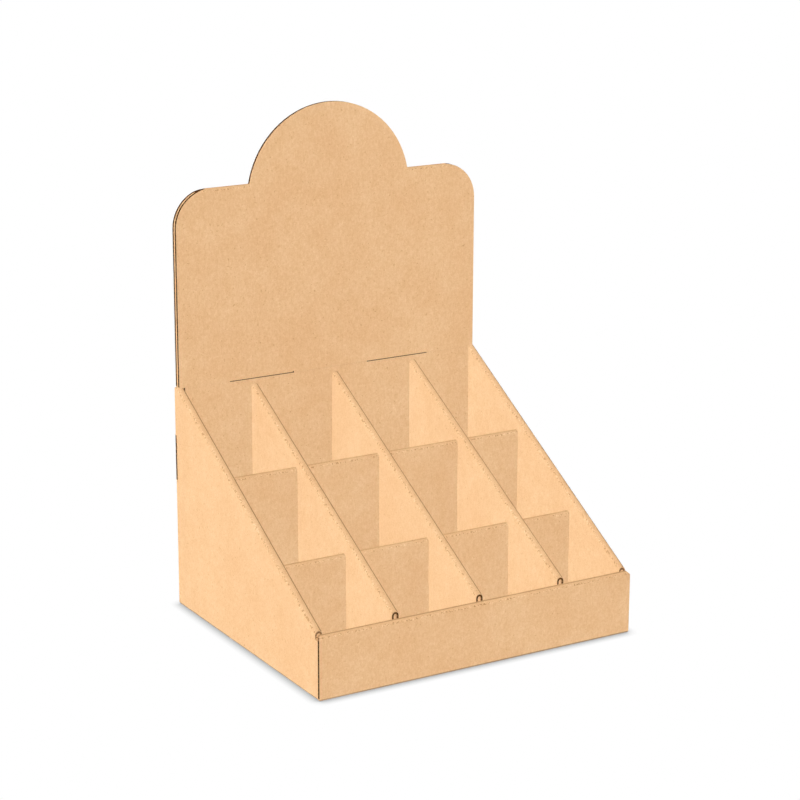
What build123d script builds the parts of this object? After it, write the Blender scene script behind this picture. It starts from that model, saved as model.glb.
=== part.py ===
from build123d import *
import os
from math import cos, radians, sin, tan

os.makedirs("parts", exist_ok=True)

# Counter display for small packets, folded from single-wall corrugated board.
# The tray blank makes the floor, the hemmed front lip, the doubled side walls and the
# header, which is folded over at its shoulders and leaves its arch standing. Three doubled
# dividers and two doubled risers are half-lapped into a grid of twelve pockets inside it.
# Origin on the ground under the middle of the footprint, +X to the viewer's right,
# +Y towards the header, +Z up. Millimetres.

# Board and clearances
BOARD = 2.7              # thickness of the corrugated board
PLY_GAP = 0.3            # between the two plies of one folded wall
FIT = 0.2                # between an edge and the face or slot that it meets

# Tray
WIDTH = 250.0            # over the side walls
DEPTH = 212.5            # front face to back face
LIP_HEIGHT = 45.9        # top of the front lip
LIP_CORNER = 2.0         # corner cut at each end of the lip
SIDE_NOSE_HEIGHT = 47.7  # side wall's ridge where it starts behind the lip
SIDE_RIDGE_ANGLE = 30.0  # rise of the side walls' ridges towards the back, degrees
BEND_RADIUS = 1.5        # outside of the folds round the floor

# Header
HEADER_REVEAL = 1.8      # header's edge inside the side wall's face, before the shift
HEADER_SHIFT = -0.7      # the header above the overhang stands this far to the right of the middle
NOTCH_CLEARANCE = 0.5    # from the side wall's ridge up to the header's overhang
HEADER_RISE = 141.9      # shoulders above the overhang
SHOULDER_RADIUS = 27.0
ARCH_CHORD = 129.8       # arch's width at the shoulders
ARCH_RISE = 53.9         # arch above the shoulders
CREASE_WIDTH = 1.6
CREASE_DEPTH = 0.4
SLIT_START = 30.7        # from the middle to a slit's inner end
SLIT_LENGTH = 52.2
SLIT_HEIGHT = 1.2
EAR_BOTTOM = 94.4        # back sheet's ears, which lock in the side walls' rear notches
EAR_HEIGHT = 35.0
EAR_PROUD = 0.2          # ear's end beyond the side wall's face

# Tabs that lock the free plies in the floor
TAB_WIDTH = 26.0
SIDE_TAB_SPACING = 96.0
CROSS_TAB_SPACING = 130.0

# Grid of dividers and risers
DIVIDER_PITCH = 66.6
DIVIDER_SHIFT = 2.9      # the grid stands this far to the right of the middle
DIVIDER_STEP = 2.3       # a divider's ridge above the side wall's where both start
DIVIDER_RIDGE_ANGLE = 28.8
FRONT_POCKET = 61.9      # lip to the front riser
MIDDLE_POCKET = 63.5     # front riser to the back riser
FRONT_RISER_HEIGHT = 71.7
BACK_RISER_HEIGHT = 115.1

# Places that follow from the sizes
FOLD_RADIUS = BOARD + PLY_GAP / 2
WALL = 2 * FOLD_RADIUS                       # a doubled wall
INNER_PLY = BOARD + PLY_GAP                  # outer face to the inner ply
HALF_WIDTH = WIDTH / 2
FRONT = -DEPTH / 2
BACK = DEPTH / 2
FLOOR_TOP = BOARD + FIT                      # where loose edges stop above the floor
NOSE = FRONT + WALL + FIT                    # where the ridges start behind the lip
POCKET_BACK = BACK - WALL                    # front face of the header's front sheet
POCKET_HALF = HALF_WIDTH - WALL - FIT        # what fits between the side walls
SHEET_HALF = HALF_WIDTH - BOARD - FIT        # what fits between their outer plies
HEADER_HALF = HALF_WIDTH - HEADER_REVEAL
NOTCH_HEIGHT = SIDE_NOSE_HEIGHT + (POCKET_BACK - NOSE) * tan(radians(SIDE_RIDGE_ANGLE)) + NOTCH_CLEARANCE
SHOULDER_HEIGHT = NOTCH_HEIGHT + HEADER_RISE
ARCH_RADIUS = ((ARCH_CHORD / 2) ** 2 + ARCH_RISE ** 2) / (2 * ARCH_RISE)
DIVIDERS = {
    "divider_left": DIVIDER_SHIFT - DIVIDER_PITCH,
    "divider_middle": DIVIDER_SHIFT,
    "divider_right": DIVIDER_SHIFT + DIVIDER_PITCH,
}
FRONT_RISER = NOSE + FRONT_POCKET
BACK_RISER = FRONT_RISER + WALL + MIDDLE_POCKET
RISERS = {
    "riser_front": (FRONT_RISER, FRONT_RISER_HEIGHT),
    "riser_back": (BACK_RISER, BACK_RISER_HEIGHT),
}
FAR = WIDTH + DEPTH + SHOULDER_HEIGHT        # longer than any sheet, for stock that is trimmed
FRONT_VIEW = Plane(origin=(0, 0, 0), x_dir=(1, 0, 0), z_dir=(0, -1, 0))
SIDE_VIEW = Plane(origin=(0, 0, 0), x_dir=(0, 1, 0), z_dir=(1, 0, 0))


def block(x, y, z):
    """Solid between two limits on each axis."""
    corner = Location((x[0], y[0], z[0]))
    size = (x[1] - x[0], y[1] - y[0], z[1] - z[0])
    return corner * Box(*size, align=(Align.MIN, Align.MIN, Align.MIN))


def fold_section(leg):
    """Two plies joined by a round fold: crown at the origin, legs hanging along -Y."""
    top = Pos(0, -FOLD_RADIUS)
    hanging = (Align.CENTER, Align.MAX)
    outside = top * (Circle(FOLD_RADIUS) + Rectangle(WALL, leg, align=hanging))
    between = top * (Circle(PLY_GAP / 2) + Rectangle(PLY_GAP, leg, align=hanging))
    return outside - between


def cross_fold(front_face, crown, bottom, half_length):
    """Doubled sheet that runs across the display, folded at its top."""
    start = Plane(origin=(0, front_face + FOLD_RADIUS, crown), x_dir=(0, 1, 0), z_dir=(1, 0, 0))
    section = fold_section(crown - FOLD_RADIUS - bottom)
    return extrude(start * section, amount=half_length, both=True)


def ridge_fold(centre, nose_height, angle):
    """Doubled sheet that runs front to back, folded along a ridge that rises to the back."""
    rise = radians(angle)
    start = Plane(origin=(centre, NOSE, nose_height), x_dir=(1, 0, 0), z_dir=(0, -cos(rise), -sin(rise)))
    return extrude(start * fold_section(FAR), amount=FAR, both=True)


def ply_tabs(clearance):
    """Tabs under the hem, the side walls' inner plies and the header's front sheet, or their slots."""
    half_tab = TAB_WIDTH / 2 + clearance
    ply = (INNER_PLY - clearance, WALL + clearance)
    depth = (-FIT, FLOOR_TOP) if clearance else (0, FLOOR_TOP)
    tabs = Part()
    for side in (-1, 1):
        across = (side * CROSS_TAB_SPACING / 2 - half_tab, side * CROSS_TAB_SPACING / 2 + half_tab)
        tabs += block(across, (FRONT + ply[0], FRONT + ply[1]), depth)
        tabs += block(across, (BACK - ply[1], BACK - ply[0]), depth)
        along = (side * SIDE_TAB_SPACING / 2 - half_tab, side * SIDE_TAB_SPACING / 2 + half_tab)
        tabs += block((HALF_WIDTH - ply[1], HALF_WIDTH - ply[0]), along, depth)
        tabs += block((ply[0] - HALF_WIDTH, ply[1] - HALF_WIDTH), along, depth)
    return tabs


def floor_panel():
    """Floor with the bends under the walls rounded and slots for the tabs."""
    panel = block((-HALF_WIDTH, HALF_WIDTH), (FRONT, BACK), (0, BOARD))
    panel = fillet(panel.faces().sort_by(Axis.Z)[0].edges(), BEND_RADIUS)
    return panel - ply_tabs(FIT)


def front_lip():
    """Front panel rolled over into a hem, its ends cut back between the side walls."""
    lip = cross_fold(FRONT, LIP_HEIGHT, BEND_RADIUS, HALF_WIDTH)
    outline = Pos(0, LIP_HEIGHT) * Rectangle(WIDTH, 2 * LIP_HEIGHT, align=(Align.CENTER, Align.MAX))
    outline = chamfer(outline.vertices().group_by(Axis.Y)[-1], LIP_CORNER)
    lip &= extrude(FRONT_VIEW * outline, amount=DEPTH, both=True)
    hem = (FRONT + BOARD, FRONT + WALL)
    for side in (-1, 1):
        end = sorted((side * POCKET_HALF, side * HALF_WIDTH))
        lip -= block(end, hem, (0, LIP_HEIGHT - FOLD_RADIUS))
    return lip - block((-HALF_WIDTH, HALF_WIDTH), hem, (0, FLOOR_TOP))


def side_wall():
    """Right-hand wall: outer ply, ridge fold and inner ply."""
    lip_layer = FRONT + BOARD + FIT
    back_layer = BACK - BOARD - FIT
    under_roll = LIP_HEIGHT - FOLD_RADIUS - FIT
    across = (HALF_WIDTH - WALL, HALF_WIDTH)
    inner = (HALF_WIDTH - WALL, HALF_WIDTH - BOARD)
    wall = ridge_fold(HALF_WIDTH - FOLD_RADIUS, SIDE_NOSE_HEIGHT, SIDE_RIDGE_ANGLE)
    wall &= block(across, (lip_layer, BACK), (BEND_RADIUS, FAR))
    wall -= block(across, (lip_layer, NOSE), (under_roll, FAR))
    wall -= block(across, (POCKET_BACK - FIT, BACK), (NOTCH_HEIGHT - FIT, FAR))
    wall -= block(inner, (FRONT, BACK), (0, FLOOR_TOP))
    wall -= block(inner, (back_layer, BACK), (0, FAR))
    ear_notch = (EAR_BOTTOM - FIT, EAR_BOTTOM + EAR_HEIGHT + FIT)
    return wall - block(across, (back_layer, BACK), ear_notch)


def header():
    """Back sheet, fold at the shoulders, and the front sheet that lines the tray's back."""
    front_sheet = (POCKET_BACK, POCKET_BACK + BOARD)
    back_sheet = (BACK - BOARD, BACK)
    sheets = cross_fold(POCKET_BACK, SHOULDER_HEIGHT, BEND_RADIUS, HEADER_HALF)
    outline = Pos(0, SHOULDER_HEIGHT) * Rectangle(2 * HEADER_HALF, SHOULDER_HEIGHT, align=(Align.CENTER, Align.MAX))
    outline = fillet(outline.vertices().group_by(Axis.Y)[-1], SHOULDER_RADIUS)
    sheets &= extrude(FRONT_VIEW * outline, amount=DEPTH, both=True)

    # The arch stays upright in the front sheet, and leaves its own outline in the back sheet.
    chord = (-ARCH_CHORD / 2, ARCH_CHORD / 2)
    roll_start = SHOULDER_HEIGHT - FOLD_RADIUS
    centre_drop = ARCH_RADIUS - ARCH_RISE
    arch = Pos(0, SHOULDER_HEIGHT - centre_drop) * Circle(ARCH_RADIUS)
    above = Pos(0, roll_start) * Rectangle(ARCH_CHORD, FAR, align=(Align.CENTER, Align.MIN))
    left_behind = Pos(0, SHOULDER_HEIGHT + centre_drop) * Circle(ARCH_RADIUS)
    sheets -= block(chord, (POCKET_BACK, BACK), (roll_start, SHOULDER_HEIGHT))
    sheets -= Pos(0, BACK, 0) * extrude(FRONT_VIEW * left_behind, amount=BOARD + PLY_GAP / 2)
    sheets += Pos(0, front_sheet[1], 0) * extrude(FRONT_VIEW * (arch & above), amount=BOARD)
    for side in (-1, 1):
        slit = sorted((side * SLIT_START, side * (SLIT_START + SLIT_LENGTH)))
        sheets -= block(slit, front_sheet, (NOTCH_HEIGHT - SLIT_HEIGHT / 2, NOTCH_HEIGHT + SLIT_HEIGHT / 2))
    sheets = Pos(HEADER_SHIFT, 0, 0) * sheets

    # Below the overhang the front sheet fits between the side walls and the back sheet
    # between their outer plies, where its ears lock it.
    for side in (-1, 1):
        lining_end = sorted((side * POCKET_HALF, side * HALF_WIDTH))
        sheets -= block(lining_end, front_sheet, (0, NOTCH_HEIGHT))
        back_end = sorted((side * SHEET_HALF, side * HALF_WIDTH))
        sheets -= block(back_end, back_sheet, (0, NOTCH_HEIGHT))
        ear = sorted((side * (SHEET_HALF - BOARD), side * (HALF_WIDTH + EAR_PROUD)))
        sheets += block(ear, back_sheet, (EAR_BOTTOM, EAR_BOTTOM + EAR_HEIGHT))
    sheets -= block((-HALF_WIDTH, HALF_WIDTH), front_sheet, (0, FLOOR_TOP))

    # Creases at the overhang that let the header lie down for shipping.
    for face, inward in ((POCKET_BACK, 1), (BACK, -1)):
        dent = Polygon(
            (face, NOTCH_HEIGHT - CREASE_WIDTH / 2),
            (face, NOTCH_HEIGHT + CREASE_WIDTH / 2),
            (face + inward * CREASE_DEPTH, NOTCH_HEIGHT),
            align=None,
        )
        sheets -= extrude(SIDE_VIEW * dent, amount=HALF_WIDTH, both=True)
    return sheets


def tray():
    """One blank: floor, lip, both side walls and the header, locked by tabs."""
    right = side_wall()
    return floor_panel() + ply_tabs(0) + front_lip() + header() + right + mirror(right, about=Plane.YZ)


def lap_height(riser_height):
    """Where a riser's slot ends and the divider's slot above it begins."""
    return (FLOOR_TOP + riser_height) / 2


def divider(centre):
    """Doubled divider with its ridge fold, slotted from below for the risers."""
    across = (centre - FOLD_RADIUS, centre + FOLD_RADIUS)
    sheet = ridge_fold(centre, SIDE_NOSE_HEIGHT + DIVIDER_STEP, DIVIDER_RIDGE_ANGLE)
    sheet &= block(across, (NOSE, POCKET_BACK - FIT), (FLOOR_TOP, FAR))
    for front_face, height in RISERS.values():
        slot = (front_face - FIT, front_face + WALL + FIT)
        sheet -= block(across, slot, (0, lap_height(height) + FIT / 2))
    return sheet


def riser(front_face, height):
    """Doubled cross wall with a rolled top, slotted from above for the dividers."""
    sheet = cross_fold(front_face, height, FLOOR_TOP, POCKET_HALF)
    for centre in DIVIDERS.values():
        slot = (centre - FOLD_RADIUS - FIT, centre + FOLD_RADIUS + FIT)
        sheet -= block(slot, (front_face, front_face + WALL), (lap_height(height) - FIT / 2, height))
    return sheet


nodes = {"tray": tray()}
for name, centre in DIVIDERS.items():
    nodes[name] = divider(centre)
for name, (front_face, height) in RISERS.items():
    nodes[name] = riser(front_face, height)
for name, shape in nodes.items():
    export_step(shape, f"parts/{name}.step")
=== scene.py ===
"""Counter display of folded corrugated board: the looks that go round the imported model.

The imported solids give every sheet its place. Each sheet is copied from its solid, its cut
edges are opened between the two liners, and the fluted medium is modelled inside them.
Lengths are metres, angles degrees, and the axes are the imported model's own.
"""

import logging
import math
from collections.abc import Callable
from dataclasses import dataclass, field
from enum import Enum, IntEnum

import bpy
from mathutils import Euler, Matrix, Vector


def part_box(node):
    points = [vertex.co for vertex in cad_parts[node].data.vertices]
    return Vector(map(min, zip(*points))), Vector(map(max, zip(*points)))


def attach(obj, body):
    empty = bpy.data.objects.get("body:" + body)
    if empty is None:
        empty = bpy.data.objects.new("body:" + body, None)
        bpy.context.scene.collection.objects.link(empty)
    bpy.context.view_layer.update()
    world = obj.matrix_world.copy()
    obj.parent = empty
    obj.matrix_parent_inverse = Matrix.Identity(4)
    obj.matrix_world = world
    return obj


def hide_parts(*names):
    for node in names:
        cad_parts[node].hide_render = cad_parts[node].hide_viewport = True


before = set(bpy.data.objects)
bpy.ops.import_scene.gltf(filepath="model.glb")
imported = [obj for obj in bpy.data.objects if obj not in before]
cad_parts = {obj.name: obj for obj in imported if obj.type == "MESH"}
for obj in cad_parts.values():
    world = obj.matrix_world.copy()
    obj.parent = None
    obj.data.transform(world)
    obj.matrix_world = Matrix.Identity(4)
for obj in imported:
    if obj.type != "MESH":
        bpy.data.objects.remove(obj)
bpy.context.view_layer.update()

logging.basicConfig(level=logging.INFO, format="%(levelname)s %(message)s")
log = logging.getLogger("display")

Piece = bpy.types.Object
Finish = bpy.types.Material
Node = bpy.types.Node
Socket = bpy.types.NodeSocket
Colour = tuple[float, float, float]
Stops = tuple[tuple[float, Colour], ...]

MM = 0.001
ROUND_STEP = 2.5 * MM
COARSEST_DEGREES = 12.0
WELD = 0.001 * MM
SOLID_WELD = 0.002 * MM
LARGEST_SLIVER = 8
FLATS_WEIGHT = 100
RIDGE_BAND = 6.0 * MM
ROLL_BAND = 4.0 * MM
NOSE_CLEAR = 0.15 * MM

WHITE: Colour = (1.0, 1.0, 1.0)
BLACK: Colour = (0.0, 0.0, 0.0)
# Faint painted shade at the edges of a fold's darker painted band.
FAINT_SHADE: Colour = (0.97, 0.95, 0.91)


class Side(IntEnum):
    """The display's two sides, as their signs along X."""

    LEFT = -1
    RIGHT = 1


class Core(Enum):
    """How a sheet's core shows where it is cut."""

    # The open core's dark is painted shade, and a shut core's paper is darkened with painted shade.
    OPEN = "flutes stand in a deep shadow"
    SHUT = "crushed, so that only its paper shows"
    PRESSED = "pressed almost flat, so that little of it shows"


class Fold(Enum):
    """The kinds of fold, which differ in their painted shade and in their specks."""

    RIDGE = "sloping ridge of a wall that runs front to back"
    ROLL = "roll on the lip and the shoulders"
    TOP = "rolled top of a cross wall inside"
    BEND = "bend under a wall at the floor"


@dataclass(frozen=True)
class Board:
    """Single-wall corrugated board, as its cut edges show it.

    Where two plies lie together, the liners between them are bunched and look heavier
    than the ones outside.
    """

    thickness: float = 2.7 * MM
    ply_gap: float = 0.3 * MM
    fit: float = 0.2 * MM
    outer_liner: float = 0.1 * MM
    inner_liner: float = 0.7 * MM
    medium: float = 0.28 * MM
    flute_pitch: float = 3.0 * MM
    recess: float = 4.0 * MM
    set_back: float = 0.12 * MM
    play: float = 0.05 * MM

    @property
    def fold_radius(self) -> float:
        """Outside radius of a doubled sheet's fold."""
        return self.thickness + self.ply_gap / 2

    @property
    def wall(self) -> float:
        """Thickness of a doubled sheet."""
        return 2 * self.fold_radius

    @property
    def core(self) -> float:
        """Room between the two liners."""
        return self.thickness - self.outer_liner - self.inner_liner

    @property
    def wave(self) -> float:
        """How far the medium swings to each side of the middle."""
        return (self.core - self.medium) / 2

    @property
    def off_middle(self) -> float:
        """How far the core lies off the middle of its ply, towards the outside."""
        return (self.inner_liner - self.outer_liner) / 2

    @property
    def core_radius(self) -> float:
        """Radius of the middle of the core in a fold."""
        return self.fold_radius - self.outer_liner - self.core / 2


BOARD = Board()
# At a nose the fold presses the board, and its core looks thinner.
NOSE_BOARD = Board(outer_liner=0.3 * MM, inner_liner=1.15 * MM)


@dataclass(frozen=True)
class Band:
    """The strip beside a fold that takes the fold's finish, and the plane that splits it off.

    Only the faces that where picks by their middle are split.
    """

    where: Callable[[Vector], bool]
    point: Vector
    normal: Vector


class Bench:
    """Modelling moves, each made with Blender's own operators."""

    @staticmethod
    def clear() -> None:
        """Leaves edit mode and deselects everything."""
        if bpy.context.mode != "OBJECT":
            bpy.ops.object.mode_set(mode="OBJECT")
        bpy.ops.object.select_all(action="DESELECT")

    @staticmethod
    def take(piece: Piece) -> None:
        """Makes a piece the only selected and active one.

        Args:
            piece: The object to work on.
        """
        Bench.clear()
        piece.select_set(True)
        bpy.context.view_layer.objects.active = piece

    @staticmethod
    def weld(piece: Piece, reach: float) -> None:
        """Joins a piece's doubled points, and stays in edit mode with all of it selected.

        Args:
            piece: The object to work on.
            reach: How near to each other points become one.
        """
        Bench.take(piece)
        bpy.ops.object.mode_set(mode="EDIT")
        bpy.ops.mesh.select_all(action="SELECT")
        bpy.ops.mesh.remove_doubles(threshold=reach)

    @staticmethod
    def join(pieces: list[Piece], name: str) -> None:
        """Joins pieces into the first one.

        Args:
            pieces: The objects to join.
            name: The name of the result.
        """
        Bench.take(pieces[0])
        for piece in pieces[1:]:
            piece.select_set(True)
        if len(pieces) > 1:
            bpy.ops.object.join()
        pieces[0].name = name
        pieces[0].data.name = name

    @staticmethod
    def cut(piece: Piece, cutter: Piece) -> None:
        """Takes a cutter's shape out of a piece and throws the cutter away.

        The slivers that the cut leaves are closed again.

        Args:
            piece: The object that is cut.
            cutter: The closed shape that is taken out. The cut faces get its finish.
        """
        Bench.take(piece)
        trim = piece.modifiers.new("cut_edge", "BOOLEAN")
        trim.operation = "DIFFERENCE"
        trim.solver = "EXACT"
        trim.material_mode = "TRANSFER"
        trim.object = cutter
        bpy.ops.object.modifier_apply(modifier=trim.name)
        bpy.data.objects.remove(cutter, do_unlink=True)
        Bench.weld(piece, SOLID_WELD)
        bpy.ops.mesh.fill_holes(sides=LARGEST_SLIVER)
        Bench.clear()

    @staticmethod
    def score(piece: Piece, band: Band) -> None:
        """Splits faces along a plane, so that the band beside a fold can have its own finish.

        Args:
            piece: The object whose faces are split.
            band: The band to split off.
        """
        Bench.take(piece)
        bpy.ops.object.mode_set(mode="EDIT")
        bpy.ops.mesh.select_mode(type="FACE")
        bpy.ops.mesh.select_all(action="DESELECT")
        bpy.ops.object.mode_set(mode="OBJECT")
        for polygon in piece.data.polygons:
            polygon.select = band.where(polygon.center)
        bpy.ops.object.mode_set(mode="EDIT")
        bpy.ops.mesh.bisect(plane_co=band.point, plane_no=band.normal)
        Bench.clear()

    @staticmethod
    def smooth(piece: Piece, degrees: float) -> None:
        """Smooths a piece's folds and keeps its flat faces flat.

        Args:
            piece: The object to smooth.
            degrees: Folds sharper than this stay creased.
        """
        Bench.take(piece)
        bpy.ops.object.shade_smooth_by_angle(angle=math.radians(degrees))
        flats = piece.modifiers.new("keep_flats", "WEIGHTED_NORMAL")
        flats.mode = "FACE_AREA"
        flats.weight = FLATS_WEIGHT
        flats.keep_sharp = True
        bpy.ops.object.modifier_apply(modifier=flats.name)

    @staticmethod
    def close(piece: Piece) -> None:
        """Joins a new piece's doubled points and points its faces outwards.

        Args:
            piece: The object to mend.
        """
        Bench.weld(piece, WELD)
        bpy.ops.mesh.normals_make_consistent(inside=False)
        Bench.clear()


@dataclass(frozen=True)
class Run:
    """A straight stretch of a swept shape, up by its climb or down where that is negative."""

    climb: float

    def sweep(self, spacing: float | None) -> None:
        """Extrudes the selected face along the stretch.

        Args:
            spacing: About how far apart the steps are. None makes one step.
        """
        way = Vector((0, 0, self.climb))
        steps = max(1, round(way.length / spacing)) if spacing else 1
        for _ in range(steps):
            bpy.ops.mesh.extrude_region_move(TRANSFORM_OT_translate={"value": way / steps})


@dataclass(frozen=True)
class Turn:
    """A round stretch of a swept shape, turned right-handed about its axis."""

    centre: Vector
    radius: float
    degrees: float
    axis: tuple[int, int, int] = (0, 1, 0)

    def sweep(self, spacing: float | None) -> None:
        """Spins the selected face about the stretch's axis. The operator counts left-handed.

        Args:
            spacing: About how far apart the steps are. None suits a shape that stays smooth.
        """
        angle = math.radians(self.degrees)
        steps = math.ceil(self.radius * abs(angle) / (spacing or ROUND_STEP))
        steps = max(steps, math.ceil(abs(self.degrees) / COARSEST_DEGREES))
        bpy.ops.mesh.spin(steps=steps, angle=-angle, center=self.centre, axis=self.axis)


Path = tuple[Run | Turn, ...]


@dataclass(frozen=True, kw_only=True)
class Cut:
    """A cut that shows a sheet's core, as a path that a small rectangle is swept along.

    The sheet lies across sheet_axis, 0 for X or 1 for Y. The rectangle lies along the other
    of the two: into the sheet by the recess, on inward's side, and clear of it on the other.
    """

    name: str
    inward: int
    sheet_axis: int = 1
    tilt: float = 0.0
    clear: float = 1.0 * MM
    recess: float = BOARD.recess
    fine: float = 0.3 * MM
    core: Core = Core.OPEN
    board: Board = BOARD

    @property
    def foot(self) -> Vector:
        """Where the path starts, in the middle of the core."""
        raise NotImplementedError

    def stretches(self) -> Path:
        """The path."""
        raise NotImplementedError

    def ripple(self, point: Vector) -> None:
        """Moves a point of the medium into the flutes' waves."""
        raise NotImplementedError

    def lean(self, piece: Piece) -> None:
        """Lets a swept shape follow a fold that slopes. A level one stays as it is."""

    def sweep(self, part: str, low: float, high: float, thickness: float, spacing: float | None) -> Piece:
        """Sweeps a rectangle along the path.

        Args:
            part: What the shape is, for its name.
            low: Where the rectangle starts, measured from the cut into the sheet.
            high: Where it ends.
            thickness: Its size through the sheet.
            spacing: How far apart the steps are, or None.

        Returns:
            The closed swept shape, not yet leaning.
        """
        turn = math.radians(self.tilt)
        if self.sheet_axis == 1:
            across, size = Vector((math.cos(turn), 0, -math.sin(turn))), (high - low, thickness, 1)
        else:
            across, size = Vector((0, 1, 0)), (thickness, high - low, 1)
        middle = self.foot + across * self.inward * (low + high) / 2
        Bench.clear()
        bpy.ops.mesh.primitive_plane_add(size=1, location=middle, rotation=(0, turn, 0))
        piece = bpy.context.object
        piece.name = f"{self.name}_{part}"
        piece.scale = size
        bpy.ops.object.transform_apply(location=True, rotation=True, scale=True)
        bpy.ops.object.mode_set(mode="EDIT")
        for stretch in self.stretches():
            stretch.sweep(spacing)
        Bench.close(piece)
        return piece

    def groove(self, finish: Finish) -> Piece:
        """Makes the shape that opens the cut between the sheet's liners.

        Args:
            finish: The finish of the opened faces.

        Returns:
            The cutter.
        """
        cutter = self.sweep("groove", -self.clear, self.recess, self.board.core, None)
        self.lean(cutter)
        cutter.data.materials.append(finish)
        return cutter

    def medium(self, finish: Finish) -> Piece | None:
        """Makes the waved paper that stands between the liners.

        Args:
            finish: The medium's finish.

        Returns:
            The waved strip, or None where the core isn't open.
        """
        if self.core is not Core.OPEN:
            return None
        board = self.board
        strip = self.sweep("medium", board.set_back, self.recess - board.play, board.medium, self.fine)
        for vertex in strip.data.vertices:
            self.ripple(vertex.co)
        self.lean(strip)
        strip.data.materials.append(finish)
        return strip


@dataclass(frozen=True, kw_only=True)
class CutEdge(Cut):
    """A cut edge of one flat sheet, which is fluted along wave_axis."""

    start: Vector
    path: Path
    wave_axis: int = 2
    outside: int = 1

    @property
    def foot(self) -> Vector:
        """The edge's start.

        Returns:
            The point in the middle of the core.
        """
        middle = self.start.copy()
        middle[self.sheet_axis] += self.outside * self.board.off_middle
        return middle

    def stretches(self) -> Path:
        """The edge's own path."""
        return self.path

    def ripple(self, point: Vector) -> None:
        """Swings a point of the medium through the sheet, by its place along the flutes."""
        phase = 2 * math.pi * point[self.wave_axis] / self.board.flute_pitch
        point[self.sheet_axis] += self.board.wave * math.sin(phase)


@dataclass(frozen=True, kw_only=True)
class Hairpin(Cut):
    """The cut end of a doubled sheet, where both plies and the fold between them show.

    The path runs up one leg, round the crown and down the other leg.
    """

    crown: Vector
    legs: tuple[float, float]
    rise: float = 0.0
    fine: float = 0.35 * MM

    @property
    def stretch(self) -> float:
        """How much taller the section is than the fold, because the fold slopes."""
        return 1 / math.cos(math.radians(self.rise))

    @property
    def axis_height(self) -> float:
        """Height of the fold's centre in the section."""
        return self.crown.z - self.board.fold_radius * self.stretch

    @property
    def centre(self) -> Vector:
        """The fold's centre at the cut."""
        return Vector((self.crown.x, self.crown.y, self.axis_height))

    @property
    def foot(self) -> Vector:
        """The foot of the first leg.

        Returns:
            The point in the middle of the core.
        """
        foot = self.centre
        foot[self.sheet_axis] -= self.board.core_radius
        foot.z -= self.legs[0]
        return foot

    def stretches(self) -> Path:
        """Up the first leg, round the fold and down the second leg, where there is one.

        Returns:
            The path.
        """
        axis = (0, 1, 0) if self.sheet_axis == 0 else (-1, 0, 0)
        up, down = self.legs
        path = (Run(up), Turn(self.centre, self.board.core_radius, 180, axis))
        return (*path, Run(-down)) if down else path

    def ripple(self, point: Vector) -> None:
        """Swings a point of the medium through the ply, by its way up, round and down.

        Args:
            point: The point to move.
        """
        side = point[self.sheet_axis] - self.crown[self.sheet_axis]
        above = point.z - self.axis_height
        radius = self.board.core_radius
        if above > 0:
            angle = math.atan2(above, -side)
            outward = Vector((-math.cos(angle), math.sin(angle)))
            travelled = radius * angle
        else:
            outward = Vector((math.copysign(1, side), 0))
            travelled = above if side < 0 else radius * math.pi - above
        swing = self.board.wave * math.sin(2 * math.pi * travelled / self.board.flute_pitch)
        point[self.sheet_axis] += swing * outward.x
        point.z += swing * outward.y

    def lean(self, piece: Piece) -> None:
        """Stretches the fold upwards and lets the sheet climb with its ridge.

        Args:
            piece: The swept shape.
        """
        climb = math.tan(math.radians(self.rise))
        along = 1 - self.sheet_axis
        for vertex in piece.data.vertices:
            above = vertex.co.z - self.axis_height
            if above > 0:
                vertex.co.z = self.axis_height + above * self.stretch
            vertex.co.z += (vertex.co[along] - self.crown[along]) * self.inward * climb


@dataclass(frozen=True, kw_only=True)
class RolledCorner(Hairpin):
    """A rounded corner that is cut through a sheet's roll, so that the roll's core shows.

    The corner's radius is its recess. Only its rim is opened, to the depth.
    """

    depth: float = 0.45 * MM
    sides: int = 120
    # Its crushed core's paper is darkened with painted shade.
    core: Core = Core.SHUT

    def groove(self, finish: Finish) -> Piece:
        """Makes the shape that opens the corner between the sheet's liners.

        Args:
            finish: The finish of the opened faces.

        Returns:
            The cutter: the roll's core, less what lies well inside the corner.
        """
        cutter = super().groove(finish)
        Bench.clear()
        bpy.ops.mesh.primitive_cylinder_add(
            vertices=self.sides,
            radius=self.recess - self.depth,
            depth=4 * BOARD.wall,
            location=self.crown + Vector((self.inward * self.recess, 0, -self.recess)),
            rotation=(math.pi / 2, 0, 0),
        )
        inside = bpy.context.object
        inside.data.materials.append(finish)
        Bench.cut(cutter, inside)
        return cutter


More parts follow.
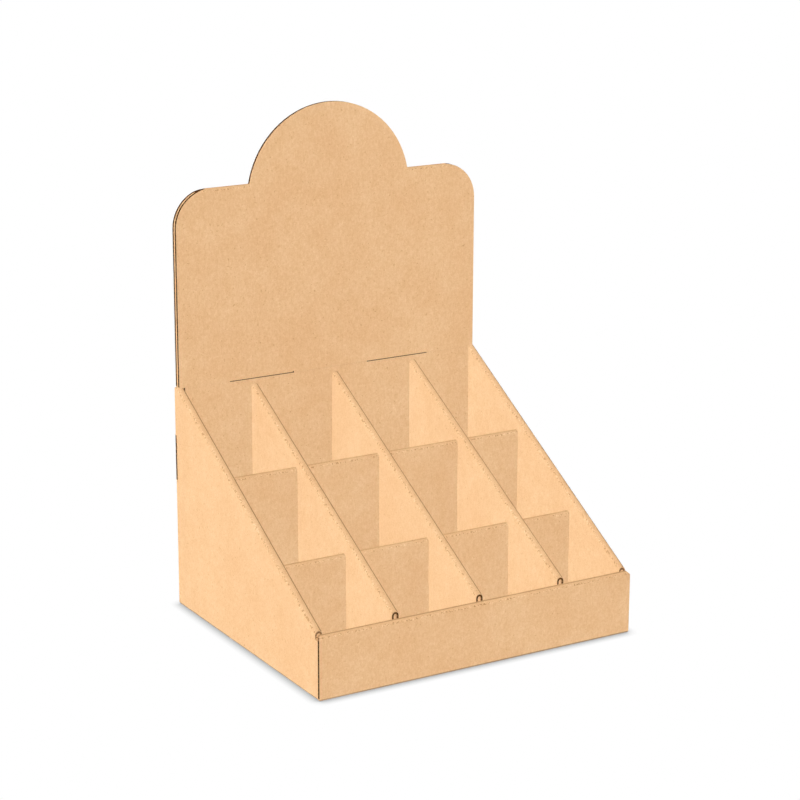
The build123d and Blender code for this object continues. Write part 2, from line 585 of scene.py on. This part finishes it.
class NodeDesk:
    """Lays out the nodes and links of a material or of the world."""

    GREEN_SWING = 1.9
    BLUE_SWING = 2.55
    FLECK_RIM = 0.05
    PATCH_SIZE = 0.8
    PATCH_LEAST = 0.56

    def __init__(self, owner: Finish | bpy.types.World) -> None:
        """Starts with no nodes.

        Args:
            owner: The new material or world.
        """
        self.owner = owner
        owner.use_nodes = True
        self.tree = owner.node_tree
        self.tree.nodes.clear()

    def add(self, kind: str, values: dict | None = None, **settings: object) -> Node:
        """Adds a node.

        Args:
            kind: The node's type without its ShaderNode prefix.
            values: What its inputs get: a constant, or the socket that is linked to them.
            **settings: Options to set on it.

        Returns:
            The node.
        """
        node = self.tree.nodes.new(f"ShaderNode{kind}")
        for key, value in settings.items():
            setattr(node, key, value)
        for key, value in (values or {}).items():
            if isinstance(value, Socket):
                self.tree.links.new(value, node.inputs[key])
            else:
                node.inputs[key].default_value = value
        return node

    def noise(self, place: Socket, scale: float, detail: float, rough: float = 0.5) -> Socket:
        """A noise around 0.5: features per metre, octaves, and the finer octaves' strength."""
        values = {"Vector": place, "Scale": scale, "Detail": detail, "Roughness": rough}
        return self.add("TexNoise", values).outputs["Fac"]

    def ramp(self, value: Socket, stops: Stops) -> Socket:
        """Adds a colour ramp.

        Args:
            value: What it reads.
            stops: Position and linear colour of each stop.

        Returns:
            The socket of its colour.
        """
        node = self.add("ValToRGB", {"Fac": value})
        while len(node.color_ramp.elements) < len(stops):
            node.color_ramp.elements.new(0.5)
        for element, (position, colour) in zip(node.color_ramp.elements, stops):
            element.position = position
            element.color = (*colour, 1)
        return node.outputs["Color"]

    def tint(self, first: Socket, second: Socket) -> Socket:
        """Multiplies two colours."""
        values = {"Factor": 1.0, "A": first, "B": second}
        return self.add("Mix", values, data_type="RGBA", blend_type="MULTIPLY").outputs["Result"]

    def math(self, kind: str, *values: Socket | float) -> Socket:
        """Does one sum with numbers and sockets."""
        return self.add("Math", dict(enumerate(values)), operation=kind).outputs[0]

    def facing(self, axis: str) -> Socket:
        """How far a face looks up an axis, from -1 to 1."""
        normal = self.add("NewGeometry").outputs["Normal"]
        return self.add("SeparateXYZ", {0: normal}).outputs[axis]

    def mottle(
        self, place: Socket, scale: float, depth: float, hue: float = 1, detail: int = 2, rough: float = 0.5
    ) -> Socket:
        """Uneven tone, from a darker, browner paper to a paler one.

        Args:
            place: The coordinates that it reads.
            scale: Features per metre.
            depth: How far the red swings to each side.
            hue: Above 1, the green and the blue swing more than they commonly do.
            detail: Octaves.
            rough: How strong the finer octaves are.

        Returns:
            The socket of its colour, around white.
        """
        swing = (depth, depth * self.GREEN_SWING * hue, depth * self.BLUE_SWING * hue**2)
        dark, pale = (tuple(1 + sign * part for part in swing) for sign in (-1, 1))
        return self.ramp(self.noise(place, scale, detail, rough), ((0.3, dark), (0.5, WHITE), (0.7, pale)))

    def flecks(
        self, place: Socket, scale: float, least: float, tint: Colour, where: Socket | None = None
    ) -> Socket:
        """Scattered specks.

        Args:
            place: The coordinates that they read.
            scale: Specks per metre.
            least: How rare they are. Above this height of the noise a speck begins.
            tint: What a speck multiplies the paper by.
            where: 1 where specks may lie and 0 elsewhere. None lets them lie anywhere.

        Returns:
            The socket of their colour, white between them.
        """
        height = self.noise(place, scale, detail=1, rough=0.4)
        if where:
            height = self.math("MULTIPLY", height, where)
        return self.ramp(height, ((least, WHITE), (least + self.FLECK_RIM, tint)))

    def curls(self, place: Socket, scale: float, width: float, tint: Colour) -> Socket:
        """Short curled fibres, which follow the level lines of a noise and lie in patches.

        Args:
            place: The coordinates that they read.
            scale: Fibres per metre.
            width: Half a fibre's width, as a height of the noise.
            tint: What a fibre multiplies the paper by.

        Returns:
            The socket of their colour, white between them.
        """
        off_line = self.math("SUBTRACT", self.noise(place, scale, detail=0), 0.5)
        line = self.math("LESS_THAN", self.math("ABSOLUTE", off_line), width)
        clumps = self.noise(place, scale * self.PATCH_SIZE, detail=1)
        patch = self.math("GREATER_THAN", clumps, self.PATCH_LEAST)
        return self.ramp(self.math("MULTIPLY", line, patch), ((0.0, WHITE), (1.0, tint)))

    def paper(self, values: dict) -> Finish:
        """Ends a material in one shader with these inputs, and returns the material."""
        self.add("OutputMaterial", {"Surface": self.add("BsdfPrincipled", values).outputs["BSDF"]})
        return self.owner

    def part(self, seen: Socket, lights: Node, shows: Node, output: str) -> None:
        """Ends the nodes in two shaders: one that lights the display, and one that is seen.

        Args:
            seen: 1 for the rays that see the second shader.
            lights: The shader for all other rays.
            shows: The shader that is seen.
            output: The kind of the output node.
        """
        choose = self.add("MixShader", {"Fac": seen, 1: lights.outputs[0], 2: shows.outputs[0]})
        self.add(output, {"Surface": choose.outputs[0]})


@dataclass(frozen=True)
class ShadeAndSpecks:
    """Painted shade on a fold: its paper darkens as it turns, by the slope of its face along one axis.

    The stops run from 0, a face that looks down the axis, to 1, one that looks up it. The
    specks of a fold lie in a row where it starts, between the two slopes in specks.
    """

    axis: str
    stops: Stops
    specks: tuple[float, float] | None = None
    fade: tuple[float, float] = (0.02, 0.04)

    def layers(self, desk: NodeDesk, place: Socket) -> list[Socket]:
        """Lays out the painted shade and the row of dark and pale specks.

        Args:
            desk: Where the nodes are laid out.
            place: The coordinates that the specks read.

        Returns:
            The sockets of the colours that multiply the paper.
        """
        slope = desk.math("MULTIPLY_ADD", desk.facing(self.axis), 0.5, 0.5)
        # The painted shade, picked by the face's slope.
        layers = [desk.ramp(slope, self.stops)]
        if self.specks:
            (first, last), (early, late) = self.specks, self.fade
            edges = ((first - early, BLACK), (first, WHITE), (last, WHITE), (last + late, BLACK))
            row = desk.ramp(slope, edges)
            layers.append(desk.flecks(place, scale=760, least=0.57, tint=(0.72, 0.60, 0.47), where=row))
            layers.append(desk.flecks(place, scale=900, least=0.56, tint=(1.12, 1.22, 1.32), where=row))
        return layers


@dataclass(frozen=True)
class KraftLiner:
    """Brown kraft paper: uneven tone, fibres, and flecks of bark and lighter pulp.

    Its fibres run upright, and the flutes behind it raise it a little. On a fold the paper
    has painted shade where its faces turn, and a row of stronger specks runs along it.
    """

    name: str = "kraft_liner"
    tone: Colour = (0.791, 0.487, 0.254)
    shade_and_specks: ShadeAndSpecks | None = None
    fibre_squeeze: float = 0.3
    roughness: float = 0.86
    gloss: float = 0.18
    bump: float = 0.09
    bump_height: float = 0.12 * MM
    washboard: float = 0.25

    def material(self) -> Finish:
        """Builds the paper's nodes.

        Returns:
            The material.
        """
        desk = NodeDesk(bpy.data.materials.new(self.name))
        place = desk.add("TexCoord").outputs["Object"]
        fibre_map = desk.add("Mapping", {"Scale": (1.0, 1.0, self.fibre_squeeze), "Vector": place})
        layers = [
            desk.mottle(place, scale=26, depth=0.018, hue=1.1),
            desk.mottle(place, scale=105, depth=0.009, hue=1.1),
            desk.mottle(place, scale=380, depth=0.013, detail=1),
            desk.mottle(place, scale=1050, depth=0.048, rough=0.6),
            desk.mottle(fibre_map.outputs["Vector"], scale=1000, depth=0.026),
            desk.curls(place, scale=330, width=0.014, tint=(1.035, 1.06, 1.08)),
            desk.curls(place, scale=270, width=0.012, tint=(0.955, 0.92, 0.89)),
            desk.flecks(place, scale=620, least=0.715, tint=(0.84, 0.75, 0.66)),
        ]
        # On a fold: painted shade by the faces' slope, and a row of specks.
        if self.shade_and_specks:
            layers += self.shade_and_specks.layers(desk, place)
        tone = desk.add("RGB")
        tone.outputs[0].default_value = (*self.tone, 1)
        colour = tone.outputs[0]
        for layer in layers:
            colour = desk.tint(colour, layer)

        # At a scale of 1 the wave texture has 10 / pi waves in a metre.
        wave = {"Scale": 1 / BOARD.flute_pitch * math.pi / 10, "Vector": place}
        flutes = desk.add("TexWave", wave, wave_type="BANDS", bands_direction="Z").outputs["Fac"]
        rough_paper = desk.noise(place, scale=1500, detail=4, rough=0.6)
        height = desk.math("ADD", rough_paper, desk.math("MULTIPLY", flutes, self.washboard))
        bump = desk.add("Bump", {"Strength": self.bump, "Distance": self.bump_height, "Height": height})
        look = {"Base Color": colour, "Roughness": self.roughness, "Specular IOR Level": self.gloss}
        return desk.paper({**look, "Normal": bump.outputs["Normal"]})


@dataclass(frozen=True)
class CorePaper:
    """The paper between the liners, in uneven shades of its tone; some tones are darkened with painted
    shade.
    """

    name: str
    tone: Colour
    darkest: Colour = (0.6, 0.58, 0.55)
    palest: float = 1.5

    def material(self) -> Finish:
        """Builds the paper's nodes.

        Returns:
            The material.
        """
        desk = NodeDesk(bpy.data.materials.new(self.name))
        place = desk.add("TexCoord").outputs["Object"]
        dark = tuple(part * share for part, share in zip(self.tone, self.darkest))
        pale = tuple(part * self.palest for part in self.tone)
        uneven = desk.noise(place, scale=700, detail=3, rough=0.6)
        shade = desk.ramp(uneven, ((0.3, dark), (0.5, self.tone), (0.72, pale)))
        return desk.paper({"Base Color": shade, "Roughness": 1.0, "Specular IOR Level": 0.0})


# The open core's tone is painted shade, the dark of the flutes' hollows. The crushed core's tone is its
# paper darkened with painted shade, for the dark of the slit and of the cut roll.
CORE_PAPERS = {
    Core.OPEN: CorePaper("flute_shadow", (0.048, 0.0165, 0.004)),
    Core.SHUT: CorePaper("crushed_core_and_shade", (0.090, 0.036, 0.013)),
    Core.PRESSED: CorePaper("pressed_core", (0.24, 0.115, 0.050)),
}
# Painted shade on the folds: a ridge darker where it turns right, a roll or top darker where it turns up.
RIDGE_SHADE, ROLL_SHADE, TOP_SHADE = (0.54, 0.42, 0.27), (0.73, 0.65, 0.53), (0.87, 0.81, 0.70)
SHADES_AND_SPECKS = {
    Fold.RIDGE: ShadeAndSpecks(
        "X",
        ((0.42, WHITE), (0.66, FAINT_SHADE), (0.76, RIDGE_SHADE), (0.90, RIDGE_SHADE), (0.96, FAINT_SHADE)),
        specks=(0.02, 0.20),
    ),
    Fold.ROLL: ShadeAndSpecks(
        "Y", ((0.28, WHITE), (0.38, ROLL_SHADE), (0.66, ROLL_SHADE), (0.76, FAINT_SHADE)), specks=(0.02, 0.12)
    ),
    Fold.TOP: ShadeAndSpecks(
        "Y", ((0.26, WHITE), (0.36, TOP_SHADE), (0.66, TOP_SHADE), (0.76, FAINT_SHADE)), specks=(0.02, 0.12)
    ),
    # Painted shade under a bend at the floor, on the faces that look down.
    Fold.BEND: ShadeAndSpecks("Z", ((0.0, (0.45, 0.42, 0.40)), (0.38, (0.62, 0.58, 0.54)), (0.5, WHITE))),
}


class Finishes:
    """The finishes that all sheets share, with one for each look of a core and each kind of fold."""

    def __init__(self) -> None:
        """Makes every finish."""
        self.liner = KraftLiner().material()
        # The medium is its own brown paper, darkened with painted shade for the hollows between the liners.
        self.medium = CorePaper("flute_paper_and_shade", (0.125, 0.049, 0.015)).material()
        self.cores = {core: paper.material() for core, paper in CORE_PAPERS.items()}
        # Each fold's finish has painted shade by the slope of its faces.
        self.folds = {
            fold: KraftLiner(f"kraft_{fold.name.lower()}", shade_and_specks=shade_and_specks).material()
            for fold, shade_and_specks in SHADES_AND_SPECKS.items()
        }


@dataclass(frozen=True)
class Ridge:
    """The sloping fold on top of a wall, from its crown's front end towards the back."""

    nose: Vector
    rise: float

    def near(self, point: Vector) -> bool:
        """True on the ridge and in the band below it."""
        crown = self.nose.z + (point.y - self.nose.y) * math.tan(math.radians(self.rise))
        return point.z > crown - RIDGE_BAND

    def band(self, where: Callable[[Vector], bool]) -> Band:
        """The band below the ridge.

        Args:
            where: Picks the faces that have it.

        Returns:
            The band.
        """
        slope = math.radians(self.rise)
        upwards = Vector((0, -math.sin(slope), math.cos(slope)))
        return Band(where, self.nose - Vector((0, 0, RIDGE_BAND)), upwards)


@dataclass
class Sheet:
    """A folded sheet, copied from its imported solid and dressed."""

    node: str
    finishes: Finishes
    smooth_below: float = 32.0
    low: Vector = field(init=False)
    high: Vector = field(init=False)

    def __post_init__(self) -> None:
        """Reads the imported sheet's box."""
        self.low, self.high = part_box(self.node)

    def edges(self) -> list[Cut]:
        """The cut edges that show. A sheet with none has only its faces dressed."""
        return []

    def fold_at(self, point: Vector) -> Fold | None:
        """The fold, or the band beside it, that a face's middle lies on."""
        raise NotImplementedError

    def bands(self) -> list[Band]:
        """The bands beside the folds."""
        raise NotImplementedError

    def build(self) -> None:
        """Copies the solid, opens its cut edges, fills them and dresses the result."""
        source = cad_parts[self.node]
        board = source.copy()
        board.data = source.data.copy()
        board.name = f"{self.node}_board"
        bpy.context.scene.collection.objects.link(board)
        board.parent = None
        board.data.materials.clear()
        board.data.materials.append(self.finishes.liner)
        Bench.weld(board, SOLID_WELD)
        Bench.clear()
        for band in self.bands():
            Bench.score(board, band)
        edges, media = self.edges(), []
        for edge in edges:
            Bench.cut(board, edge.groove(self.finishes.cores[edge.core]))
            strip = edge.medium(self.finishes.medium)
            if strip:
                media.append(strip)
        self.dress(board)
        log.info("%s: %d faces, %d cut edges", board.name, len(board.data.polygons), len(edges))
        if media:
            Bench.join(media, f"{self.node}_flutes")
            self.mount(media[0])
            log.info("%s: %d faces", media[0].name, len(media[0].data.polygons))

    def dress(self, board: Piece) -> None:
        """Gives the faces their finishes and smooths the folds.

        Args:
            board: The copied and opened sheet.
        """
        liner_index = list(board.data.materials).index(self.finishes.liner)
        fold_index = {}
        for fold, finish in self.finishes.folds.items():
            fold_index[fold] = len(board.data.materials)
            board.data.materials.append(finish)
        for polygon in board.data.polygons:
            fold = self.fold_at(polygon.center)
            if fold and polygon.material_index == liner_index:
                polygon.material_index = fold_index[fold]
        Bench.smooth(board, self.smooth_below)
        self.mount(board, self.node)

    def mount(self, piece: Piece, stands_for: str | None = None) -> None:
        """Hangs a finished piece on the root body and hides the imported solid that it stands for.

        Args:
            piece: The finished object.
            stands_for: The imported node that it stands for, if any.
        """
        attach(piece, "root")
        if stands_for:
            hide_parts(stands_for)


@dataclass
class Divider(Sheet):
    """A doubled divider with a sloping ridge, whose nose shows behind the lip."""

    rise: float = 28.8
    nose_leg: float = 8.0 * MM

    @property
    def ridge(self) -> Ridge:
        """The divider's ridge, which ends at the top of its rear edge."""
        climb = (self.high.y - self.low.y) * math.tan(math.radians(self.rise))
        return Ridge(Vector(((self.low.x + self.high.x) / 2, self.low.y, self.high.z - climb)), self.rise)

    def edges(self) -> list[Cut]:
        """The one cut edge that shows.

        Returns:
            The nose.
        """
        nose = Hairpin(
            name=f"{self.node}_nose",
            crown=self.ridge.nose,
            inward=1,
            sheet_axis=0,
            legs=(self.nose_leg, self.nose_leg),
            rise=self.rise,
            clear=NOSE_CLEAR,
            board=NOSE_BOARD,
        )
        return [nose]

    def fold_at(self, point: Vector) -> Fold | None:
        """The ridge and the band below it."""
        return Fold.RIDGE if self.ridge.near(point) else None

    def bands(self) -> list[Band]:
        """The band below the ridge."""
        return [self.ridge.band(lambda _: True)]


@dataclass
class Riser(Sheet):
    """A doubled cross wall with a rolled top."""

    def fold_at(self, point: Vector) -> Fold | None:
        """The rolled top and the band below it."""
        return Fold.TOP if point.z > self.high.z - ROLL_BAND else None

    def bands(self) -> list[Band]:
        """The band below the rolled top."""
        return [Band(lambda _: True, self.high - Vector((0, 0, ROLL_BAND)), Vector((0, 0, 1)))]


@dataclass
class TrayBlank(Sheet):
    """The blank that makes floor, lip, side walls and header."""

    rise: float = 30.0
    lip_height: float = 45.9 * MM
    lip_leg: float = 0.3 * MM
    nose_height: float = 47.7 * MM
    nose_leg: float = 2.0 * MM
    pressed_recess: float = 0.6 * MM
    bend_radius: float = 1.5 * MM
    half_width: float = 125.0 * MM
    header_reveal: float = 1.8 * MM
    header_shift: float = -0.7 * MM
    notch_clearance: float = 0.5 * MM
    header_rise: float = 141.9 * MM
    shoulder_radius: float = 27.0 * MM
    arch_chord: float = 129.8 * MM
    arch_rise: float = 53.9 * MM
    slit_start: float = 30.7 * MM
    slit_length: float = 52.2 * MM
    slit_core: float = 3.0 * MM
    lining_drop: float = 30.0 * MM
    lining_clear: float = 0.1 * MM
    ear_bottom: float = 94.4 * MM
    ear_height: float = 35.0 * MM
    ear_proud: float = 0.2 * MM
    wall_margin: float = 3.0 * MM
    wall_fine: float = 2.0 * MM
    edge_margin: float = 0.8 * MM
    fold_margin: float = 0.4 * MM
    foot_margin: float = 0.3 * MM

    @property
    def nose_depth(self) -> float:
        """Where the side walls' ridges start."""
        return self.low.y + BOARD.wall + BOARD.fit

    @property
    def lining(self) -> float:
        """Front face of the header's front sheet."""
        return self.high.y - BOARD.wall

    @property
    def notch(self) -> float:
        """Height of the header's overhang."""
        climb = (self.lining - self.nose_depth) * math.tan(math.radians(self.rise))
        return self.nose_height + climb + self.notch_clearance

    @property
    def shoulder(self) -> float:
        """Height of the header's shoulders."""
        return self.notch + self.header_rise

    @property
    def arch_radius(self) -> float:
        """Radius of the arch."""
        return ((self.arch_chord / 2) ** 2 + self.arch_rise**2) / (2 * self.arch_rise)

    @property
    def ridge(self) -> Ridge:
        """The ridge of either side wall."""
        return Ridge(Vector((0, self.nose_depth, self.nose_height)), self.rise)

    @property
    def sheets(self) -> tuple[tuple[str, float, int], ...]:
        """Name, middle depth and outer side of the header's two sheets."""
        half = BOARD.thickness / 2
        return (("front_sheet", self.lining + half, -1), ("back_sheet", self.high.y - half, 1))

    def edges(self) -> list[Cut]:
        """Every cut edge of the blank that shows from some side."""
        sides = [cut for side in Side for cut in (*self.header_edges(side), *self.wall_edges(side))]
        return sides + self.arch_edges()

    def header_side(self, side: Side, inside: float = 0.0) -> float:
        """X of the header's side edge, or of a place that far inside it."""
        return side * (self.half_width - self.header_reveal - inside) + self.header_shift

    def header_edges(self, side: Side) -> list[Cut]:
        """Side edges, corner and slit of the header, and the ear and the lining below it.

        Args:
            side: The display's side.

        Returns:
            The cuts on that side.
        """
        corner_height = self.shoulder - self.shoulder_radius
        up = corner_height - self.notch - self.edge_margin
        roll_start = self.shoulder - BOARD.fold_radius
        corner = math.degrees(math.asin((roll_start - corner_height) / self.shoulder_radius))
        cuts: list[Cut] = []
        for name, depth, outside in self.sheets:
            centre = Vector((self.header_side(side, self.shoulder_radius), depth, corner_height))
            cuts.append(
                CutEdge(
                    name=f"header_{side.name}_{name}",
                    start=Vector((self.header_side(side), depth, self.notch + self.edge_margin)),
                    inward=-side,
                    path=(Run(up), Turn(centre, self.shoulder_radius, -side * corner)),
                    outside=outside,
                )
            )
        half = BOARD.thickness / 2
        ear_end = side * (self.half_width + self.ear_proud)
        ear = CutEdge(
            name=f"ear_{side.name}",
            start=Vector((ear_end, self.high.y - half, self.ear_bottom + self.edge_margin)),
            inward=-side,
            path=(Run(self.ear_height - 2 * self.edge_margin),),
        )
        lining_end = side * (self.half_width - BOARD.wall - BOARD.fit)
        lining = CutEdge(
            name=f"lining_{side.name}",
            start=Vector((lining_end, self.lining + half, self.notch - self.lining_drop)),
            inward=-side,
            path=(Run(self.lining_drop - self.lining_clear),),
            clear=self.lining_clear,
        )
        return [*cuts, self.rolled_corner(side), self.slit(side), ear, lining]

    def rolled_corner(self, side: Side) -> RolledCorner:
        """The shoulder's corner, where it is cut through the roll.

        Args:
            side: The display's side.

        Returns:
            The corner.
        """
        return RolledCorner(
            name=f"corner_{side.name}",
            crown=Vector((self.header_side(side), self.lining + BOARD.fold_radius, self.shoulder)),
            inward=-side,
            legs=(BOARD.recess, BOARD.recess),
            recess=self.shoulder_radius,
        )

    def slit(self, side: Side) -> CutEdge:
        """The slit at the header's overhang, with the core crushed above and below it.

        Args:
            side: The display's side.

        Returns:
            The slit's core.
        """
        _, depth, outside = self.sheets[0]
        return CutEdge(
            name=f"slit_{side.name}",
            start=Vector((side * self.slit_start + self.header_shift, depth, self.notch - self.slit_core)),
            inward=side,
            path=(Run(2 * self.slit_core),),
            outside=outside,
            clear=0.0,
            recess=self.slit_length,
            # The crushed core is darkened with painted shade, for the dark of the slit's gap.
            core=Core.SHUT,
        )

    def wall_edges(self, side: Side) -> list[Cut]:
        """The front panel's side edge, the lip's end, and the side wall's nose and rear edge.

        Args:
            side: The display's side.

        Returns:
            The cuts on that side.
        """
        panel_bottom = self.bend_radius + self.foot_margin
        panel_top = self.lip_height - BOARD.fold_radius - self.fold_margin
        panel_end = CutEdge(
            name=f"panel_end_{side.name}",
            start=Vector((side * self.half_width, self.low.y + BOARD.thickness / 2, panel_bottom)),
            inward=-side,
            path=(Run(panel_top - panel_bottom),),
            outside=-1,
        )
        lip_end = Hairpin(
            name=f"lip_end_{side.name}",
            crown=Vector((side * self.half_width, self.low.y + BOARD.fold_radius, self.lip_height)),
            inward=-side,
            legs=(self.lip_leg, 0.0),
            recess=self.pressed_recess,
            core=Core.PRESSED,
            board=NOSE_BOARD,
        )
        nose_middle = side * (self.half_width - BOARD.fold_radius)
        nose = Hairpin(
            name=f"side_nose_{side.name}",
            crown=Vector((nose_middle, self.nose_depth, self.nose_height)),
            inward=1,
            sheet_axis=0,
            legs=(self.nose_leg, self.nose_leg),
            rise=self.rise,
            clear=NOSE_CLEAR,
            recess=self.pressed_recess,
            core=Core.PRESSED,
            board=NOSE_BOARD,
        )
        outer_ply = side * (self.half_width - BOARD.thickness / 2)
        beside_ear = BOARD.fit + self.edge_margin
        stretches = (
            ("low", self.bend_radius + self.edge_margin, self.ear_bottom - beside_ear),
            ("high", self.ear_bottom + self.ear_height + beside_ear, self.notch - self.wall_margin),
        )
        rear = [
            CutEdge(
                name=f"wall_{side.name}_{name}",
                start=Vector((outer_ply, self.high.y, bottom)),
                inward=-1,
                path=(Run(top - bottom),),
                sheet_axis=0,
                wave_axis=1,
                outside=side,
                fine=self.wall_fine,
            )
            for name, bottom, top in stretches
        ]
        return [panel_end, lip_end, nose, *rear]

    def arch_edges(self) -> list[Cut]:
        """Rim of the arch, and of the opening that it leaves in the back sheet.

        Returns:
            The two cuts.
        """
        (_, front_depth, _), (_, back_depth, _) = self.sheets
        drop = self.arch_radius - self.arch_rise
        arch_centre = Vector((self.header_shift, front_depth, self.shoulder - drop))
        foot = math.degrees(math.asin((drop + self.foot_margin) / self.arch_radius))
        opening_centre = Vector((self.header_shift, back_depth, self.shoulder + drop))
        below_roll = drop + BOARD.fold_radius + self.fold_margin
        reach = math.degrees(math.acos(below_roll / self.arch_radius))
        return [
            CutEdge(
                name="arch_rim",
                start=self.on_circle(arch_centre, 180 - foot),
                inward=1,
                path=(Turn(arch_centre, self.arch_radius, 180 - 2 * foot),),
                tilt=foot,
            ),
            CutEdge(
                name="opening_rim",
                start=self.on_circle(opening_centre, 270 - reach),
                inward=-1,
                path=(Turn(opening_centre, self.arch_radius, -2 * reach),),
                tilt=reach - 90,
            ),
        ]

    def on_circle(self, centre: Vector, degrees: float) -> Vector:
        """A point on a circle of the arch's radius, counted from +X towards +Z."""
        angle = math.radians(degrees)
        return centre + Vector((math.cos(angle), 0, math.sin(angle))) * self.arch_radius

    def on_side(self, point: Vector) -> bool:
        """True on the side walls, in front of the header."""
        return abs(point.x) > self.half_width - BOARD.wall - BOARD.fit and point.y < self.lining

    def fold_at(self, point: Vector) -> Fold | None:
        """The side ridges, the lip's roll, the shoulders and the bends at the floor.

        Args:
            point: A face's middle.

        Returns:
            The fold that the face belongs to, or None.
        """
        if point.z < self.bend_radius:
            return Fold.BEND
        if point.y < self.nose_depth and point.z > self.lip_height - ROLL_BAND:
            return Fold.ROLL
        if self.on_side(point) and point.y > self.nose_depth:
            return Fold.RIDGE if self.ridge.near(point) else None
        beside_arch = abs(point.x - self.header_shift) > self.arch_chord / 2
        return Fold.ROLL if beside_arch and point.z > self.shoulder - BOARD.fold_radius else None

    def bands(self) -> list[Band]:
        """The bands below the side ridges and below the lip's roll.

        Returns:
            The two bands.
        """
        below_lip = Vector((0, self.low.y, self.lip_height - ROLL_BAND))
        lip = Band(lambda point: point.y < self.nose_depth, below_lip, Vector((0, 0, 1)))
        return [self.ridge.band(self.on_side), lip]


@dataclass
class Studio:
    """Plain pale room, even soft light and the camera at the photograph's place.

    A lamp's strength is the light on a face turned to it, as a share of a full white.
    """

    sky: float = 0.06
    left: float = 0.615
    front: float = 0.125
    above: float = 0.55
    below: float = 0.525
    lamp_spread: float = 180.0
    lamp_distance: float = 2.0
    floor_size: float = 40.0
    floor_tone: float = 0.62
    contact: float = 8 * MM
    contact_samples: int = 16
    contact_tones: Stops = ((0.45, (0.5,) * 3), (0.75, (0.8,) * 3), (1.0, WHITE))
    lens: float = 109.7
    sensor: float = 36.0
    eye: tuple[float, float, float] = (-0.84135, -1.41550, 0.63312)
    turn: tuple[float, float, float] = (74.069, -30.695, 0.197)

    def build(self) -> None:
        """Sets up the room, the lamps and the camera."""
        self.world()
        self.floor()
        self.lamps()
        self.camera()

    def world(self) -> None:
        """Even light from all round, and a plain pale ground where nothing stands."""
        world = bpy.data.worlds.new("studio")
        bpy.context.scene.world = world
        desk = NodeDesk(world)
        light = desk.add("Background", {"Strength": self.sky})
        pale = desk.add("Background", {"Strength": 1.0})
        path = desk.add("LightPath")
        seen = path.outputs["Is Camera Ray"]
        for name in ("Is Glossy Ray", "Is Transmission Ray"):
            seen = desk.math("MAXIMUM", seen, path.outputs[name])
        desk.part(seen, light, pale, "OutputWorld")

    def floor(self) -> None:
        """A pale floor that shows as white and keeps a narrow shadow at the display's foot."""
        Bench.clear()
        bpy.ops.mesh.primitive_plane_add(size=self.floor_size, location=(0, 0, 0))
        ground = bpy.context.object
        ground.name = "studio_floor"
        desk = NodeDesk(bpy.data.materials.new("studio_floor"))
        paint = desk.add("BsdfDiffuse", {"Color": (*[self.floor_tone] * 3, 1)})
        near = desk.add("AmbientOcclusion", {"Distance": self.contact}, samples=self.contact_samples)
        shade = desk.ramp(near.outputs["AO"], self.contact_tones)
        shown = desk.add("Emission", {"Color": shade})
        desk.part(desk.add("LightPath").outputs["Is Camera Ray"], paint, shown, "OutputMaterial")
        ground.data.materials.append(desk.owner)

    def lamps(self) -> None:
        """Half a room of even light from each of four sides, for soft shading without hard shadows."""
        for name, strength, towards in (
            ("light_left", self.left, Vector((-1, 0, 0))),
            ("light_front", self.front, Vector((0, -1, 0))),
            ("light_above", self.above, Vector((0, 0, 1))),
            ("light_below", self.below, Vector((0, 0, -1))),
        ):
            lamp = bpy.data.lights.new(name, "SUN")
            lamp.energy = strength * math.pi
            lamp.angle = math.radians(self.lamp_spread)
            lamp.use_shadow = False
            lamp.cycles.max_bounces = 0
            lamp.cycles.use_multiple_importance_sampling = False
            holder = bpy.data.objects.new(name, lamp)
            holder.location = towards * self.lamp_distance
            holder.rotation_euler = towards.to_track_quat("Z", "Y").to_euler()
            bpy.context.scene.collection.objects.link(holder)

    def camera(self) -> None:
        """Camera fitted to the photograph."""
        lens = bpy.data.cameras.new("camera")
        lens.lens = self.lens
        lens.sensor_width = self.sensor
        holder = bpy.data.objects.new("camera", lens)
        holder.location = self.eye
        pitch, heading, roll = (math.radians(angle) for angle in self.turn)
        turns = [Euler(turn).to_matrix() for turn in ((0, 0, heading), (pitch, 0, 0), (0, 0, roll))]
        holder.rotation_euler = (turns[0] @ turns[1] @ turns[2]).to_euler()
        bpy.context.scene.collection.objects.link(holder)
        bpy.context.scene.camera = holder


def main() -> None:
    """Builds every sheet, then the room."""
    bpy.context.scene.view_settings.view_transform = "Standard"
    finishes = Finishes()
    TrayBlank("tray", finishes).build()
    for place in ("left", "middle", "right"):
        Divider(f"divider_{place}", finishes).build()
    for place in ("front", "back"):
        Riser(f"riser_{place}", finishes).build()
    Studio().build()


if __name__ == "__main__":
    main()
